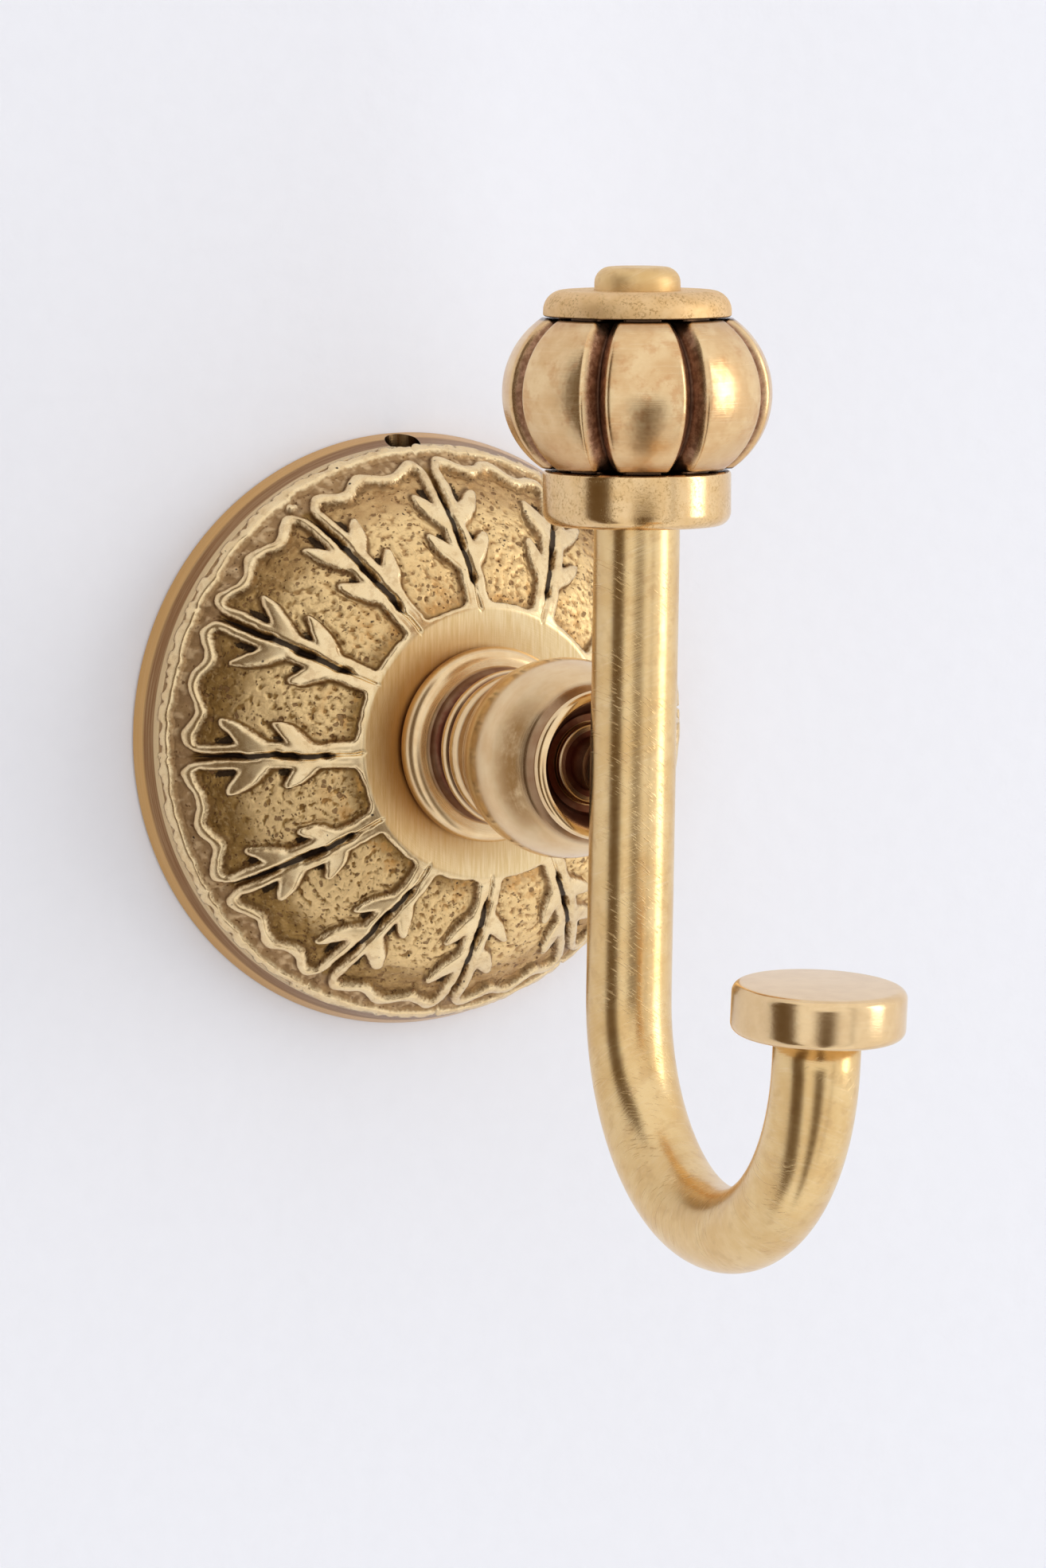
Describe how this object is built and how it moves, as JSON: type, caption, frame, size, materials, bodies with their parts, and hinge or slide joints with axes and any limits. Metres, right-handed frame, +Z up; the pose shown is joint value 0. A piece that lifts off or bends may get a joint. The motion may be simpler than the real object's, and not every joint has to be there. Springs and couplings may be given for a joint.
{
  "type": "wall-mounted bath hook",
  "caption": "Brass robe hook: leaf-pattern dome rosette, turned post, bent rod with a fluted melon finial and a disc tip.",
  "frame": {"origin": "centre of the rosette's back, on the wall plane and midway between the two screw holes", "axes": "+Y into the wall, along the post's axis; +Z up, along the hook's shank; +X to the right as seen facing the wall"},
  "size_m": [0.0694, 0.1151, 0.11],
  "materials": {
    "cast_brass": "cast, aged and rubbed on the ridges",
    "turned_brass": "turned, fine brush lines round the axis, aged in the recesses",
    "brushed_rod": "brushed across, lightly aged",
    "melon_brass": "brushed, brown patina in the grooves",
    "finial_brass": "smooth, aged and speckled",
    "zinc_steel": "zinc plated",
    "dark_steel": "oiled steel"
  },
  "bodies": {
    "root": {"rosette": "cast_brass", "wall_plate": "zinc_steel", "grub_screw": "dark_steel", "tie_washer": "zinc_steel", "tie_screw": "zinc_steel", "post": "turned_brass", "hook_rod": "brushed_rod", "finial_collar": "finial_brass", "finial_melon": "melon_brass", "finial_cap": "finial_brass", "tip_disc": "turned_brass"}
  },
  "joints": []
}
